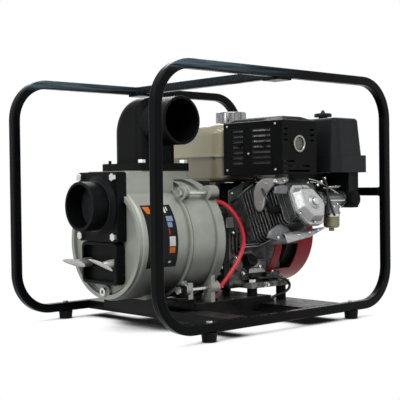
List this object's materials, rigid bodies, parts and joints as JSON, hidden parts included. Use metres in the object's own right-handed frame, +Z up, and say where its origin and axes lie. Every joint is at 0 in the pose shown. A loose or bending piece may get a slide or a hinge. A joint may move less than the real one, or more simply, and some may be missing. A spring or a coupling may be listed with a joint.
{
  "type": "portable fire pump",
  "caption": "Self-priming fire pump on a petrol engine in a tube roll cage, with side suction port, elbow discharge, cleanout cover, fuel tank, air cleaner and guarded muffler.",
  "frame": {"origin": "on the ground, under the middle of the cage", "axes": "+X from the suction port along the crankshaft to the recoil starter, +Y away from the side with the muffler, +Z up"},
  "size_m": [0.8102, 0.5848, 0.6172],
  "materials": {
    "frame_paint": "black powder coat, slight orange peel",
    "sheet_paint": "dark grey-black paint, satin",
    "rubber": "moulded black rubber",
    "gasket_rubber": "black sheet rubber",
    "zinc_steel": "zinc plated",
    "pump_alloy": "die-cast alloy, warm grey paint",
    "black_casting": "black-painted casting",
    "bright_casting": "bare casting",
    "cast_iron": "as cast",
    "steel": "ground",
    "seal_ceramic": "ceramic face in a rubber bellows",
    "engine_alloy": "die-cast alloy",
    "pressed_steel": "silver paint over pressed steel",
    "exhaust_steel": "heat-tinted",
    "guard_paint": "black heat-proof paint",
    "tank_paint": "cream gloss paint",
    "chrome": "polished",
    "black_plastic": "textured black plastic",
    "filter_paper": "pleated paper",
    "red_paint": "red gloss paint",
    "red_rubber": "red cable jacket",
    "hose_rubber": "black rubber hose"
  },
  "bodies": {
    "root": {"air_cleaner_base": "black_plastic", "air_cleaner_cover": "black_plastic", "air_filter": "filter_paper", "cable_grommets": "rubber", "carburettor": "engine_alloy", "casing_bolts": "zinc_steel", "cleanout_cover": "black_casting", "cleanout_studs": "zinc_steel", "crank_bearings": "steel", "crankcase": "engine_alloy", "crankcase_cover": "engine_alloy", "cylinder_barrel": "engine_alloy", "cylinder_head": "engine_alloy", "cylinder_shrouds": "pressed_steel", "discharge_elbow": "black_casting", "drain_hose": "hose_rubber", "engine_base_plate": "sheet_paint", "engine_mount_bolts": "zinc_steel", "engine_mounts": "rubber", "fan_cover": "red_paint", "far_side_loop": "frame_paint", "flange_bolts": "zinc_steel", "flap_hinge_pin": "zinc_steel", "front_base_rail": "sheet_paint", "fuel_tank": "tank_paint", "muffler": "exhaust_steel", "muffler_guard": "guard_paint", "near_side_loop": "frame_paint", "plug_boot": "rubber", "pump_adapter": "pump_alloy", "pump_casing": "pump_alloy", "pump_gaskets": "gasket_rubber", "pump_saddle": "sheet_paint", "rear_base_plate": "sheet_paint", "rear_cross_bar": "frame_paint", "recoil_starter": "black_plastic", "rubber_feet": "rubber", "shaft_seal": "seal_ceramic", "small_bolts": "zinc_steel", "spark_plug": "zinc_steel", "starter_cable": "red_rubber", "suction_flange": "black_casting", "top_cross_bar": "frame_paint", "valve_cover": "pressed_steel", "volute": "cast_iron"},
    "rotor": {"crankshaft": "steel", "flywheel": "cast_iron", "impeller": "cast_iron"},
    "piston_body": {"piston": "engine_alloy"},
    "flap": {"check_valve_flap": "black_casting"},
    "near_knob": {"near_wing_knob": "bright_casting"},
    "far_knob": {"far_wing_knob": "bright_casting"},
    "plug": {"drain_plug": "zinc_steel"},
    "tank_cap": {"fuel_cap": "chrome"},
    "cleaner_nut": {"air_cleaner_knob": "black_plastic"},
    "oil_cap": {"oil_filler_cap": "black_plastic"},
    "throttle": {"throttle_lever": "black_plastic"},
    "choke": {"choke_lever": "black_plastic"},
    "switch": {"engine_switch": "black_plastic"},
    "starter_handle": {"recoil_handle": "black_plastic"}
  },
  "joints": [
    {"name": "crank_turn", "type": "hinge", "parent": "root", "child": "rotor", "pos_m": [0, 0, 0.2112], "axis": [1, 0, 0], "continuous": true},
    {"name": "piston_stroke", "type": "slide", "parent": "root", "child": "piston_body", "axis": [0, -0.9272, 0.3746], "range_m": [0, 0.064]},
    {"name": "flap_swing", "type": "hinge", "parent": "root", "child": "flap", "pos_m": [-0.304, 0, 0.3602], "axis": [0, -1, 0], "range_deg": [0, 35]},
    {"name": "near_knob_turn", "type": "hinge", "parent": "root", "child": "near_knob", "pos_m": [-0.3288, -0.048, 0.1647], "axis": [-1, 0, 0], "range_deg": [0, 450]},
    {"name": "far_knob_turn", "type": "hinge", "parent": "root", "child": "far_knob", "pos_m": [-0.3288, 0.048, 0.1647], "axis": [-1, 0, 0], "range_deg": [0, 450]},
    {"name": "drain_plug_turn", "type": "hinge", "parent": "root", "child": "plug", "pos_m": [-0.325, 0, 0.0962], "axis": [-1, 0, 0], "range_deg": [0, 540]},
    {"name": "fuel_cap_turn", "type": "hinge", "parent": "root", "child": "tank_cap", "pos_m": [0.172, 0.076, 0.512], "axis": [0, 0, 1], "range_deg": [0, 90]},
    {"name": "cleaner_knob_turn", "type": "hinge", "parent": "root", "child": "cleaner_nut", "pos_m": [0.272, -0.168, 0.5133], "axis": [0, 0, 1], "range_deg": [0, 810]},
    {"name": "oil_cap_turn", "type": "hinge", "parent": "root", "child": "oil_cap", "pos_m": [0.061, -0.084, 0.1372], "axis": [0, -0.848, 0.5299], "range_deg": [0, 450]},
    {"name": "throttle_swing", "type": "hinge", "parent": "root", "child": "throttle", "pos_m": [0.222, -0.202, 0.3222], "axis": [0, 0, 1], "range_deg": [0, 55]},
    {"name": "choke_swing", "type": "hinge", "parent": "root", "child": "choke", "pos_m": [0.274, -0.202, 0.3222], "axis": [0, 0, 1], "range_deg": [0, 60]},
    {"name": "switch_turn", "type": "hinge", "parent": "root", "child": "switch", "pos_m": [0.2733, -0.098, 0.2682], "axis": [1, 0, 0], "range_deg": [0, 45]},
    {"name": "starter_pull", "type": "slide", "parent": "root", "child": "starter_handle", "axis": [0, 1, 0], "range_m": [0, 0.4]}
  ]
}
